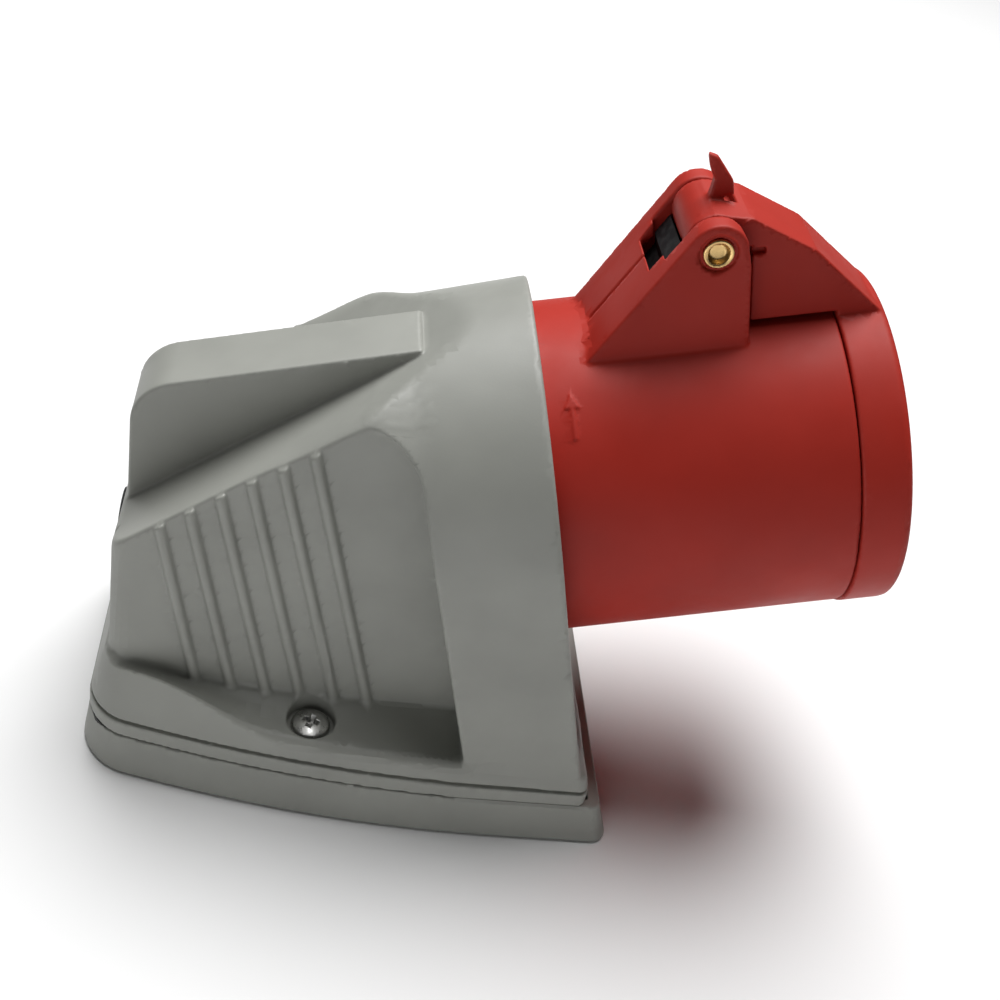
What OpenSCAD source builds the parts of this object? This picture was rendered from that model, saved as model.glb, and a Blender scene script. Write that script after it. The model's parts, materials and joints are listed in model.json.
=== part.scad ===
// Wall-mounted power inlet box: a grey moulded shell on a wall tray, and a round
// red inlet that leans away from the wall, with a sprung lid over its mouth.
// +Z points out of the wall, +X towards the mouth, and the origin is the middle
// of the mounting face. The inlet is drawn in its own frame (s, y, v): s runs
// out along the inlet's axis, y is across and v points towards the lid's hinge.

/* [Inlet] */
// Lean of the inlet axis away from the wall, degrees
tilt = 16; // [14:1:18]
// Height of the inlet axis above the wall, at axis_x
axis_z = 92; // [90:1:94]
// Outer radius of the sleeve
sleeve_r = 45; // [44.5:0.1:45.2]
// Wall of the sleeve
sleeve_wall = 3.2; // [2.8:0.1:3.4]
// Distance from the sleeve's datum to its mouth
mouth_s = 63.1; // [62:0.1:64]
// How far the sleeve turns between locked and released, degrees
bayonet_turn = 20; // [16:1:22]

/* [Lid] */
// Height of the hinge pin above the inlet axis
hinge_v = 68.6; // [68:0.1:70]
// Distance of the hinge pin along the inlet axis
hinge_s = 32.4; // [31:0.1:33]
// Outer radius of the lid's rim
lid_r = 45.5; // [45.3:0.1:46]
// Depth of the lid's rim and face together
lid_depth = 12.5; // [11:0.5:14]
// Half width of the lid's arm and knuckle
knuckle_half_w = 9.9; // [9:0.1:10]
// Thickness of each hinge cheek
cheek_w = 5.7; // [5:0.1:6]

/* [Shell] */
// Outer radius of the dome round the inlet
dome_r = 52; // [51:0.5:53]
// Wall thickness of the shell
wall = 2.8; // [2.4:0.1:3]
// Half width of the tray's top at its widest
half_w = 56; // [55.5:0.1:57]
// Height of the wall tray
tray_h = 13.2; // [12.5:0.1:14]
// Angle of the sloping back of the shell, degrees
ramp_angle = 40; // [39:0.5:41]
// Half width of the cable spine
spine_half_w = 10; // [9:0.5:11]
// Number of grip ribs on each side
rib_count = 6; // [4:1:7]

/* [Contacts] */
// Radius of the circle that the contact pins stand on
pin_circle_r = 16.5; // [16:0.1:17]
// Radius of the phase and neutral pins
pin_r = 3; // [2.9:0.1:3.1]
// Radius of the earth pin
earth_pin_r = 4; // [3.9:0.1:4.1]

/* [Hidden] */
$fn = 96;

grey = [0.60, 0.61, 0.58];
red = [0.72, 0.13, 0.10];
dark = [0.12, 0.12, 0.12];
brass = [0.78, 0.62, 0.30];
zinc = [0.75, 0.76, 0.78];

gap = 0.3;           // between bodies that move past each other
eps = 0.05;          // overlap between shapes that are joined into one solid
big = 300;           // longer than anything in the model

// Outline of the tray: straight front, sides that bow in to a narrower end
tray_front_x = 71;
cover_front_x = 66.5;
back_x = -72.4;
axis_x = 55;
bow_start_x = 43;    // the sides start to bow in behind here
bow_r = 409;
end_corner_r = 11;
front_corner_r = 3;
tray_draft = 1.6;    // the tray is this much wider all round at the wall
toe = 3;             // the tray's foot reaches this far past its front edge
cover_z = tray_h + 0.4;
groove_z = cover_z + 4.8;
groove_h = 0.7;

// Skirt of the shell: its crest and its foot on the side panels both fall
// steeply from the end to skirt_mid_x, and gently from there to the front
skirt_z = groove_z + groove_h;
skirt_mid_x = -15;
skirt_crest = [36.5, 24.6, 23];
skirt_foot = [36.8, 28.5, 22];
skirt_crest_inset = 5;

// Dome, ramp and spine of the shell
dome_front_s = -11.3;
dome_back_s = -43.2;
dome_back_r = dome_r - 1.6;
shoulder_r = 12.5;    // corner of the side panel, seen from the side
shoulder_v = 27.8;    // height of that corner's centre above the axis
dome_flare = 5;
ramp_x = -66;
ramp_z = axis_z - 23.7;
ramp_hollow_r = 160; // the ramp is a shallow trough of this radius
body_end_x = -67.5;
spine_end_x = -66.3;
spine_corner_r = 14;
spine_rise = 17.3;
spine_top_z = axis_z + 17.2;   // height of the spine's top at spine_top_x
spine_top_x = -49.6;
front_wall_s = -17.5;
front_wall_t = 3.6;
hole_r = sleeve_r + 0.4;

// Hinge block and lid
cheek_out = knuckle_half_w + 0.2 + cheek_w;
cheek_in = knuckle_half_w + 0.2;
apex_r = 7.3;
foot_s = -1;
foot_v = 41.5;
cheek_edge_s = hinge_s + apex_r + 0.6;
web_t = 2.4;
window_s = 17.3;
pin_hole_r = 3.45;
hinge_pin_r = 3.4;
hinge_pin_bore_r = 2.6;
knuckle_r = 7;
seat_depth = 5;      // the spring seat lies this far under the cheeks' slope
seat_step = 3;       // and only this far past the web's end
seat_s = [8.8, 21.2, 26.5, 38.5];   // its near end, step, top end and front
spring_room_r = 5.6;
spring_half_w = 6;
lid_back_s = mouth_s + gap;
lid_front_s = lid_back_s + lid_depth;
lid_wall = 2.8;

// Inside of the inlet
carrier_back_s = -28;
carrier_front_s = 6;
shroud_r = 38.4;
shroud_wall = 3;
shroud_front_s = mouth_s - 2.5;
pin_tip_s = 44;
pin_back_s = -34;
seat_r = sleeve_r - sleeve_wall;

// Closing mark
mark_s = -5;
mark_turn = 38;

// Screws
cover_screw = [-12.4, 42];
cover_screw_r = 1.7;
screw_seat_z = 20.5;
screw_recess_r = 6;
wall_hole = [56, 30];
wall_hole_r = 2.75;

// Cable entry and the wiring pieces on the tray
grommet_r = 10.2;
grommet_hole_r = 5;
cable_z = 50;
clamp_x = -42;
clamp_post_y = 13;
clamp_z = 10;
earth_x = -20;
earth_z = 9;

// Lid spring
spring_wire_r = 0.5;
spring_coil_r = 4.5;
spring_turns = 8;
spring_steps = 18;

// ---- Helpers -----------------------------------------------------------------

// The inlet's own frame
module on_axis() translate([axis_x, 0, axis_z]) rotate([0, -tilt, 0]) children();

// A flat (y, v) outline run along the inlet axis
module along_s(s0, s1) translate([s0, 0, 0]) rotate([90, 0, 90]) linear_extrude(s1 - s0) children();

// A flat (x, z) outline run across the part
module across_y(half) translate([0, half, 0]) rotate([90, 0, 0]) linear_extrude(2 * half) children();

// A disc or tube about the inlet axis
module disc(s0, s1, r) translate([s0, 0, 0]) rotate([0, 90, 0]) cylinder(h = s1 - s0, r = r);
module tube(s0, s1, ro, ri) difference() {
    disc(s0, s1, ro);
    disc(s0 - 1, s1 + 1, ri);
}

// A rod across the hinge
module cross_rod(half, r) translate([hinge_s, 0, hinge_v]) rotate([90, 0, 0])
    cylinder(h = 2 * half, r = r, center = true);

// A cross-slotted screw standing on z = 0, with its head up
module screw(head_r, head_h, shank_r, shank_len) difference() {
    union() {
        cylinder(h = head_h, r = head_r);
        translate([0, 0, -shank_len]) cylinder(h = shank_len + eps, r = shank_r);
    }
    for (turn = [0, 90]) rotate(turn)
        translate([0, 0, head_h]) cube([head_r * 1.3, head_r * 0.28, head_h], center = true);
}

// Points on an arc
function arc(c, r, a0, a1, steps = 10) =
    [for (i = [0:steps]) let (a = a0 + (a1 - a0) * i / steps) [c[0] + r * cos(a), c[1] + r * sin(a)]];

// Half width of the tray at x
function tray_half_w(x, inset) = half_w - inset - (x < bow_start_x ? pow(bow_start_x - x, 2) / (2 * bow_r) : 0);

// The near side of the tray's outline, from its front to the middle of its end
function side_points(inset, front_x) = let (
    r = end_corner_r - inset,
    slope = atan((bow_start_x - back_x - end_corner_r) / bow_r),
    touch_x = back_x + inset + r - r * sin(slope),
    centre = [touch_x + r * sin(slope), tray_half_w(touch_x, inset) - r * cos(slope)],
    fr = max(front_corner_r - inset, 0.5),
    fc = [front_x - inset - fr, half_w - inset - fr])
    concat(arc(fc, fr, 0, 90, 6),
           [for (i = [0:24]) let (x = bow_start_x + (touch_x - bow_start_x) * i / 24)
               [x, tray_half_w(x, inset)]],
           arc(centre, r, 90 + slope + 4, 180, 9));

module footprint(inset = 0, front_x = cover_front_x) {
    side = side_points(inset, front_x);
    polygon(concat(side, [for (i = [len(side) - 1:-1:0]) [side[i][0], -side[i][1]]]));
}

module slab(z0, z1, inset = 0, front_x = cover_front_x) translate([0, 0, z0])
    linear_extrude(z1 - z0) footprint(inset, front_x);

// ---- Wall tray ---------------------------------------------------------------

module base_plate() color(grey) difference() {
    union() {
        difference() {
            hull() {
                slab(0, 0.1, -tray_draft + 1.2, tray_front_x + toe - tray_draft);
                slab(2, 2.1, -tray_draft, tray_front_x + toe - tray_draft);
                slab(tray_h - 0.1, tray_h, 0, tray_front_x);
            }
            slab(wall, tray_h + 1, 3.4);
        }
        for (side = [-1, 1]) {
            translate([cover_screw[0], side * cover_screw[1], 0]) cylinder(h = tray_h, r = 4.6);
            for (end = [-1, 1]) translate([end * wall_hole[0], side * wall_hole[1], 0])
                cylinder(h = 6, r = 5.5);
            translate([clamp_x, side * clamp_post_y, 0]) cylinder(h = clamp_z, r = 4);
        }
        translate([earth_x, 0, 0]) cylinder(h = earth_z, r = 6);
    }
    for (side = [-1, 1]) {
        translate([cover_screw[0], side * cover_screw[1], 3]) cylinder(h = tray_h, r = cover_screw_r + 0.05);
        for (end = [-1, 1]) translate([end * wall_hole[0], side * wall_hole[1], -1])
            cylinder(h = 9, r = wall_hole_r);
        translate([clamp_x, side * clamp_post_y, 3]) cylinder(h = clamp_z, r = 1.6);
    }
    translate([earth_x, 0, 3]) cylinder(h = earth_z, r = 2.1);
    gasket_groove();
}

module gasket_groove() translate([0, 0, tray_h - 1.6]) linear_extrude(3) difference() {
    footprint(1.1);
    footprint(2.4);
}

module base_gasket() color(dark) translate([0, 0, tray_h - 1.6]) linear_extrude(cover_z - tray_h + 1.6)
    difference() {
        footprint(1.15);
        footprint(2.35);
    }

// ---- Shell -------------------------------------------------------------------

// Flat section of the dome: a round top on two legs that flare towards the wall
module dome_section(r) {
    circle(r);
    polygon([[-r, 0], [r, 0], [r + dome_flare, -big / 3], [-r - dome_flare, -big / 3]]);
}

module dome(inset) on_axis() hull() {
    along_s(dome_back_s + inset, dome_back_s + inset + 0.1) dome_section(dome_back_r - inset);
    along_s(dome_front_s - 0.9 - 0.1, dome_front_s - 0.9) dome_section(dome_r - inset);
    along_s(dome_front_s - 0.1, dome_front_s) dome_section(dome_r - inset - 0.6);
}

// Half width of the body behind the dome at height z
function panel_y(z) = 35.5 - z * 0.032;

// The body behind the dome, before the ramp is cut
module rear_body(inset) intersection() {
    translate([0, 0, 10]) linear_extrude(130) union() {
        translate([body_end_x + inset + 5, -50]) square([120, 100]);
        translate([body_end_x + inset, -29 + inset]) square([20, 58 - 2 * inset]);
        for (side = [-1, 1]) translate([body_end_x + inset + 5, side * (29 - inset)]) circle(5);
    }
    translate([body_end_x + inset, 0, 0]) rotate([90, 0, 90]) linear_extrude(140)
        polygon([[-panel_y(10) + inset, 10], [panel_y(10) - inset, 10],
                 [panel_y(140) - inset, 140], [-panel_y(140) + inset, 140]]);
    on_axis() along_s(-150, dome_back_s + 6) dome_section(dome_back_r - inset);
}

// Round-cornered shoulder where the side panels run up into the dome
module shoulder(inset) on_axis() intersection() {
    along_s(dome_back_s - 16, dome_back_s + 6) dome_section(dome_back_r - inset);
    across_y(big / 2) difference() {
        translate([dome_back_s - shoulder_r, shoulder_v]) square([shoulder_r + 5, 40]);
        translate([dome_back_s - shoulder_r, shoulder_v]) circle(shoulder_r + inset);
    }
}

module ramp_cut(inset) translate([ramp_x, 0, ramp_z]) rotate([0, -ramp_angle, 0])
    translate([-30, 0, ramp_hollow_r]) rotate([0, 90, 0])
        cylinder(h = 220, r = ramp_hollow_r + inset, $fn = 180);

// Side view of the spine: upright end, round corner, top almost along the axis
module spine_profile(inset) {
    r = spine_corner_r - inset;
    c = [spine_end_x + spine_corner_r,
         spine_top_z + tan(spine_rise) * (spine_end_x + spine_corner_r - spine_top_x)
         - spine_corner_r / cos(spine_rise)];
    top = c + r * [-sin(spine_rise), cos(spine_rise)];
    far_x = 14;
    translate(c) circle(r);
    polygon([[c[0] - r, 45], [c[0] - r, c[1]], c, top,
             [far_x, top[1] + tan(spine_rise) * (far_x - top[0])], [far_x, 90]]);
}

// Slanted grip ribs that fan out down each side panel
module ribs() for (side = [-1, 1], i = [0:rib_count - 1]) {
    foot_z = 31.5 - 0.86 * i;
    head_z = 83.6 + 5.5 * i;
    foot = [-44.3 + 9.46 * i, side * panel_y(foot_z), foot_z];
    head = [-56.1 + 7.04 * i, side * panel_y(head_z), head_z];
    run = 1.15 * (head - foot);
    translate(foot - 0.1 * run) rotate([0, acos(run[2] / norm(run)), atan2(run[1], run[0])])
        cylinder(h = norm(run), r = 1.3, $fn = 24);
}

// One stretch of the skirt, from the groove up to its crest and the side panels
module skirt_part(x0, x1, end, inset) hull() {
    intersection() {
        slab(skirt_z, skirt_z + 1.3, inset);
        translate([min(x0, x0 * 2), -big / 2, 0]) cube([x1 - min(x0, x0 * 2), big, big]);
    }
    intersection() {
        slab(skirt_z, 40, skirt_crest_inset + inset);
        across_y(big / 2) polygon([[x0, skirt_z], [x1, skirt_z], [x1, skirt_crest[end + 1] - inset],
                                   [x0, skirt_crest[end] - inset]]);
    }
    across_y(panel_y(30) - inset) polygon([[x0, skirt_z], [x1, skirt_z], [x1, skirt_foot[end + 1] - inset],
                                           [x0, skirt_foot[end] - inset]]);
}

module skirt(inset) {
    skirt_part(body_end_x + inset, skirt_mid_x, 0, inset);
    skirt_part(skirt_mid_x, 60, 1, inset);
}

module flange() {
    skirt(0);
    slab(cover_z, groove_z);
    slab(groove_z - eps, groove_z + groove_h + eps, 0.7);
}

module shell_outside() {
    difference() {
        union() {
            dome(0);
            rear_body(0);
            shoulder(0);
            ribs();
        }
        ramp_cut(0);
        translate([0, 0, cover_z + 2 - big / 2]) cube([big, big, big], center = true);
    }
    intersection() {
        across_y(spine_half_w) spine_profile(0);
        translate([-90, -big / 2, 0]) cube([110, big, big]);
    }
    flange();
}

module shell_inside() {
    difference() {
        union() {
            dome_inside();
            rear_body(wall);
            shoulder(wall);
        }
        ramp_cut(wall);
        translate([0, 0, cover_z + 2 - big / 2]) cube([big, big, big], center = true);
    }
    across_y(spine_half_w - 2.4) spine_profile(2.4);
    slab(cover_z - 1, skirt_z + eps, 3.6);
    skirt(wall);
}

module dome_inside() on_axis() hull() {
    along_s(dome_back_s + wall, dome_back_s + wall + 0.1) dome_section(dome_back_r - wall);
    along_s(front_wall_s - 0.1, front_wall_s) dome_section(dome_r - wall);
}

module housing_shell() color(grey) difference() {
    shell_outside();
    difference() {
        shell_inside();
        cover_bosses(screw_recess_r + 1.6);
    }
    front_opening();
    cover_bosses(2.2);
    translate([0, 0, screw_seat_z]) cover_bosses(screw_recess_r);
    translate([body_end_x - 5, 0, cable_z]) rotate([0, 90, 0]) cylinder(h = 12, r = grommet_r);
}

module cover_bosses(r) for (side = [-1, 1])
    translate([cover_screw[0], side * cover_screw[1], 0]) cylinder(h = 40, r = r);

// Round hole for the sleeve, its collar recess and the bayonet's entry slots
module front_opening() on_axis() {
    disc(front_wall_s - 5, dome_front_s + 5, hole_r);
    disc(front_wall_s + front_wall_t, dome_front_s + 5, 49.6);
    for (i = [0:2]) rotate([i * 120 + bayonet_turn, 0, 0]) intersection() {
        disc(front_wall_s - 5, dome_front_s + 5, 49);
        rotate([-9, 0, 0]) translate([-40, -7.6, 0]) cube([60, 15.2, 60]);
    }
}

module cover_screws() color(zinc) for (side = [-1, 1])
    translate([cover_screw[0], side * cover_screw[1], screw_seat_z]) screw(4.6, 2.8, cover_screw_r, 14);

// Stepped rubber membrane in the end wall
module cable_grommet() color(dark) translate([body_end_x, 0, cable_z]) rotate([0, 90, 0]) difference() {
    union() {
        translate([0, 0, -1.4]) cylinder(h = 1.4, r = grommet_r + 2);
        cylinder(h = wall, r = grommet_r);
        translate([0, 0, wall + 0.5]) cylinder(h = 1.5, r = grommet_r + 1.5);
        cylinder(h = wall + 0.6, r = grommet_r);
    }
    translate([0, 0, -3]) cylinder(h = 12, r = grommet_hole_r);
    translate([0, 0, -3]) cylinder(h = 4.2, r = grommet_r - 3);
}

// ---- Wiring pieces on the tray -------------------------------------------------

module cable_clamp() color(zinc) difference() {
    translate([clamp_x - 5, -17, clamp_z]) cube([10, 34, 3]);
    translate([clamp_x, 0, clamp_z - 4]) rotate([0, 90, 0]) cylinder(h = 30, r = 5.5, center = true);
    for (side = [-1, 1]) translate([clamp_x, side * clamp_post_y, 0]) cylinder(h = 30, r = 1.9);
}
module clamp_screws() color(zinc) for (side = [-1, 1])
    translate([clamp_x, side * clamp_post_y, clamp_z + 3]) screw(3.2, 2.2, 1.55, 9);

module earth_terminal() color(brass) difference() {
    translate([earth_x - 6, -6, earth_z]) cube([12, 12, 8]);
    translate([earth_x, 0, 0]) cylinder(h = 40, r = 2.15);
    translate([earth_x, 0, earth_z + 3.6]) rotate([0, 90, 0]) cylinder(h = 30, r = 2.4, center = true);
}
module earth_screw() color(zinc) translate([earth_x, 0, earth_z + 8]) screw(3.8, 2.6, 2.05, 12);

// ---- Inlet sleeve with its hinge block ------------------------------------------

function tangent_angle() = let (d = [hinge_s - foot_s, hinge_v - foot_v])
    atan2(d[1], d[0]) + asin(apex_r / norm(d));

// Side view of a hinge cheek, reaching down into the sleeve's wall
module cheek_profile() {
    a = tangent_angle() + 90;
    top = [hinge_s + apex_r * cos(a), hinge_v + apex_r * sin(a)];
    translate([hinge_s, hinge_v]) circle(apex_r);
    polygon([[foot_s, foot_v], top, [hinge_s, hinge_v + 1], [hinge_s + apex_r, hinge_v],
             [cheek_edge_s, 64], [cheek_edge_s, foot_v - 1], [foot_s - 1, foot_v - 1]]);
}

module hinge_block() difference() {
    union() {
        for (side = [-1, 1]) translate([0, side * (cheek_in + cheek_w / 2), 0])
            across_y(cheek_w / 2) cheek_profile();
        across_y(cheek_in + eps) web_profile();
    }
    disc(foot_s - 5, mouth_s, seat_r + 1);
    cross_rod(cheek_out + 2, pin_hole_r);
    for (side = [-1, 1]) at_hinge_end(side, 0) cylinder(h = 2 * 0.8, r = 4.7, center = true);
}

// The sloping web between the cheeks, open at its top for the spring
module web_profile() {
    a = tangent_angle();
    n = [sin(a), -cos(a)];
    foot = [foot_s, foot_v];
    top = foot + (window_s - foot_s) * [1, tan(a)];
    polygon([foot, top, top + web_t * n, foot + 6 * [1, 0]]);
}

// Black block in the well between the cheeks, cleared for the knuckle, that the
// spring's fixed leg rests on
module spring_seat() color(dark) on_axis() difference() {
    across_y(cheek_in - 0.1) seat_profile();
    disc(foot_s, mouth_s, sleeve_r + 0.02);
    cross_rod(cheek_in + 1, knuckle_r + 0.5);
}
function under_slope(s, depth) = let (a = tangent_angle())
    [s, foot_v + (s - foot_s) * tan(a) - depth / cos(a)];
module seat_profile() polygon([
    under_slope(seat_s[0], seat_depth), under_slope(seat_s[1], seat_depth),
    under_slope(seat_s[1], seat_step), under_slope(seat_s[2], seat_step),
    [seat_s[3], hinge_v], [seat_s[3], foot_v + 2], [seat_s[0] - 0.5, foot_v + 2]]);

// Raised arrow on the sleeve's root, pointing the way the sleeve turns to lock
module closing_mark() rotate([mark_turn, 0, 0]) translate([mark_s, 0, sleeve_r - 1]) linear_extrude(1.4) {
    translate([0, -1.5]) square([1, 9], center = true);
    polygon([[-2, 2], [2, 2], [0, 6]]);
}

module inlet_sleeve() color(red) on_axis() {
    difference() {
        union() {
            disc(-30, mouth_s, sleeve_r);
            disc(front_wall_s + front_wall_t + 1.1, dome_front_s - 0.4, 49.1);
            for (i = [0:2]) rotate([i * 120, 0, 0]) intersection() {
                disc(-21.5, front_wall_s - 0.3, 48.5);
                rotate([-9, 0, 0]) translate([-40, -7, 30]) cube([60, 14, 30]);
            }
            hinge_block();
            closing_mark();
        }
        disc(-31, mouth_s + 1, seat_r);
    }
    for (i = [0:2]) rotate([60 + i * 120, 0, 0]) difference() {
        translate([-1.5, -4.5, 35.5]) cube([5, 9, seat_r - 35.1]);
        translate([-20, 0, 37.6]) rotate([0, 90, 0]) cylinder(h = 40, r = 1.4);
    }
}

module sleeve_gasket() color(dark) on_axis()
    tube(front_wall_s + front_wall_t, front_wall_s + front_wall_t + 0.9, 49.4, sleeve_r + 0.6);

// Semi-tubular rivet: a solid pin with a flanged, hollow end on each side
module hinge_pin() color(brass) on_axis() difference() {
    union() {
        cross_rod(cheek_out - 0.8, hinge_pin_r);
        for (side = [-1, 1]) at_hinge_end(side, 0.4) cylinder(h = 0.8, r = 4.4, center = true);
    }
    for (side = [-1, 1]) at_hinge_end(side, 0) cylinder(h = 3, r = hinge_pin_bore_r, center = true);
}
module at_hinge_end(side, depth) translate([hinge_s, side * (cheek_out - depth), hinge_v])
    rotate([90, 0, 0]) children();

// ---- Contacts ------------------------------------------------------------------

function pin_turn(i) = 180 + i * 72;   // the earth pin is furthest from the hinge

module at_pin(i) rotate([pin_turn(i), 0, 0]) translate([0, 0, pin_circle_r]) children();

module contact_carrier() color(dark) on_axis() difference() {
    union() {
        disc(carrier_back_s, carrier_front_s, 35.2);
        disc(-10, -1.7, seat_r - 0.2);
    }
    for (i = [0:4]) at_pin(i) {
        disc(carrier_back_s - 1, carrier_front_s + 1, (i == 0 ? earth_pin_r : pin_r) + 0.02);
        translate([carrier_back_s - 1, -5.4, -5.4]) cube([15, 10.8, 19]);
    }
    for (i = [0:2]) rotate([60 + i * 120, 0, 0]) translate([-20, 0, 37.6]) rotate([0, 90, 0])
        cylinder(h = 30, r = 1.8);
}

// Inner collar that the connector's nose slides into, with its keyway
module pin_shroud() color(red) on_axis() difference() {
    union() {
        tube(-1.7, shroud_front_s, shroud_r, shroud_r - shroud_wall);
        rotate([180, 0, 0]) translate([-1.7, -5.5, shroud_r - 1])
            cube([shroud_front_s + 1.7, 11, seat_r - shroud_r + 0.4]);
    }
    rotate([180, 0, 0]) translate([12, -3.5, 20]) cube([60, 7, shroud_r - 20 + 0.8]);
    for (i = [0:2]) rotate([60 + i * 120, 0, 0]) translate([-2.5, -5.2, 34.8]) cube([6.5, 10.4, 12]);
    disc(-3, 6.3, 35.3);
}

module contact_pin(i, r) color(brass) on_axis() at_pin(i) {
    disc(pin_back_s + 8, pin_tip_s - r * 0.6, r);
    translate([pin_tip_s - r * 0.6, 0, 0]) rotate([0, 90, 0]) cylinder(h = r * 0.6, r1 = r, r2 = r * 0.55);
}
module pin_pe() contact_pin(0, earth_pin_r);
module pin_l1() contact_pin(1, pin_r);
module pin_l2() contact_pin(2, pin_r);
module pin_l3() contact_pin(3, pin_r);
module pin_n() contact_pin(4, pin_r);

module terminal_clamps() color(brass) on_axis() for (i = [0:4]) at_pin(i) difference() {
    translate([carrier_back_s - 8, -5, -5]) cube([21, 10, 10]);
    disc(pin_back_s + 7.9, 10, (i == 0 ? earth_pin_r : pin_r) + 0.02);
    disc(carrier_back_s - 9, -20, 2.6);
    translate([carrier_back_s - 4, 0, 0]) cylinder(h = 20, r = 1.9);
}

module terminal_screws() color(zinc) on_axis() for (i = [0:4]) at_pin(i)
    translate([carrier_back_s - 4, 0, 5.2]) screw(2.6, 1.8, 1.8, 4.4);

module carrier_screws() color(zinc) on_axis() for (i = [0:2]) rotate([60 + i * 120, 0, 0])
    translate([-10, 0, 37.6]) rotate([0, -90, 0]) screw(2.2, 2, 1.35, 12);

// ---- Lid -----------------------------------------------------------------------

// Side view of the arm from the knuckle to the lid's rim
module arm_profile() {
    translate([hinge_s, hinge_v]) circle(knuckle_r);
    polygon([[hinge_s, hinge_v + knuckle_r], [hinge_s + 9.5, hinge_v + 5], [57.4, 63.4],
             [lid_front_s - 1, lid_r - 1.4], [lid_front_s - 6, lid_r - 4], [lid_back_s, lid_r - 4],
             [lid_back_s, lid_r + 0.2], [hinge_s + 9.2, lid_r + 0.2], [hinge_s + 9.2, hinge_v - 2],
             [hinge_s + 5, hinge_v - 4.5]]);
}

// Finger tab on the knuckle
module tab_profile() polygon(concat([[hinge_s - 0.4, hinge_v + 5]],
    arc([hinge_s + 14.8, hinge_v + 18], 14.5, 205, 178, 6),
    [[hinge_s + 2.6, hinge_v + 17.4], [hinge_s + 6.2, hinge_v + 11], [hinge_s + 6.4, hinge_v + 5]]));

module lid() color(red) on_axis() difference() {
    union() {
        tube(lid_back_s, lid_front_s - 1.5, lid_r, lid_r - lid_wall);
        translate([lid_front_s - 1.5 - eps, 0, 0]) rotate([0, 90, 0])
            cylinder(h = 1.5 + eps, r1 = lid_r, r2 = lid_r - 1.7);
        across_y(knuckle_half_w) arm_profile();
        across_y(1.7) tab_profile();
    }
    disc(lid_back_s - 1, lid_front_s - 3, lid_r - lid_wall);
    cross_rod(big, pin_hole_r);
    cross_rod(spring_half_w, spring_room_r);
    across_y(knuckle_half_w - 2.2) arm_pocket();
    spring_slot();
    for (side = [-1, 1]) translate([hinge_s + 10, side * knuckle_half_w, hinge_v - 3.6])
        cube([5.2, 3, 1.7], center = true);
    translate([hinge_s + 3.8, -3, hinge_v + 2.8]) cube([3, 11, 4.6]);
}

// Hollow inside the arm, open towards the sleeve
module arm_pocket() polygon([[hinge_s + 11.5, lid_r], [hinge_s + 11.5, hinge_v], [56, 60.5],
                             [lid_back_s - 1.5, 54.5], [lid_back_s - 1.5, lid_r]]);

// Way out of the knuckle for the spring's leg
module spring_slot() translate([hinge_s, 0, hinge_v]) rotate([0, -35, 0])
    translate([-12, -spring_half_w, -1.6]) cube([12, 3, 5]);

module lid_gasket() color(dark) on_axis()
    tube(lid_back_s + 0.1, lid_back_s + 3, lid_r - lid_wall - 0.05, shroud_r + 0.6);

// Torsion spring round the pin
function spring_path() = [for (i = [0:spring_turns * spring_steps]) let (a = 215 + 360 * i / spring_steps)
    [hinge_s + spring_coil_r * cos(a), -spring_half_w + 1.4 + i / spring_steps * 1.15,
     hinge_v + spring_coil_r * sin(a)]];
function ring_at(path, i, sides) = let (
    ahead = path[min(i + 1, len(path) - 1)] - path[max(i - 1, 0)],
    t = ahead / norm(ahead),
    side = cross(t, [0, 1, 0]) / norm(cross(t, [0, 1, 0])),
    up = cross(side, t))
    [for (k = [0:sides - 1]) let (a = 360 * k / sides) path[i] + spring_wire_r * (cos(a) * side + sin(a) * up)];
module wire(path, sides = 8) {
    rings = [for (i = [0:len(path) - 1]) each ring_at(path, i, sides)];
    last = len(path) - 1;
    polyhedron(points = rings, faces = concat(
        [[for (k = [0:sides - 1]) k]],
        [for (i = [0:last - 1], k = [0:sides - 1]) let (n = (k + 1) % sides)
            [i * sides + k, (i + 1) * sides + k, (i + 1) * sides + n, i * sides + n]],
        [[for (k = [sides - 1:-1:0]) last * sides + k]]));
}
module lid_spring() color(zinc) on_axis() wire(spring_path());

// ---- Show ----------------------------------------------------------------------

base_plate();
base_gasket();
housing_shell();
cover_screws();
cable_grommet();
sleeve_gasket();
cable_clamp();
clamp_screws();
earth_terminal();
earth_screw();
inlet_sleeve();
contact_carrier();
pin_shroud();
pin_l1();
pin_l2();
pin_l3();
pin_n();
pin_pe();
terminal_clamps();
terminal_screws();
carrier_screws();
hinge_pin();
spring_seat();
lid();
lid_gasket();
lid_spring();
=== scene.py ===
"""Looks of the wall-mounted inlet box: moulded shells, materials, light and camera.

Lengths are in millimetres until a mesh is made. The inlet's own frame (s, y, v) has s
along its axis, y across and v towards the lid's hinge, as in the part's source.
"""

import json
import math

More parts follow.
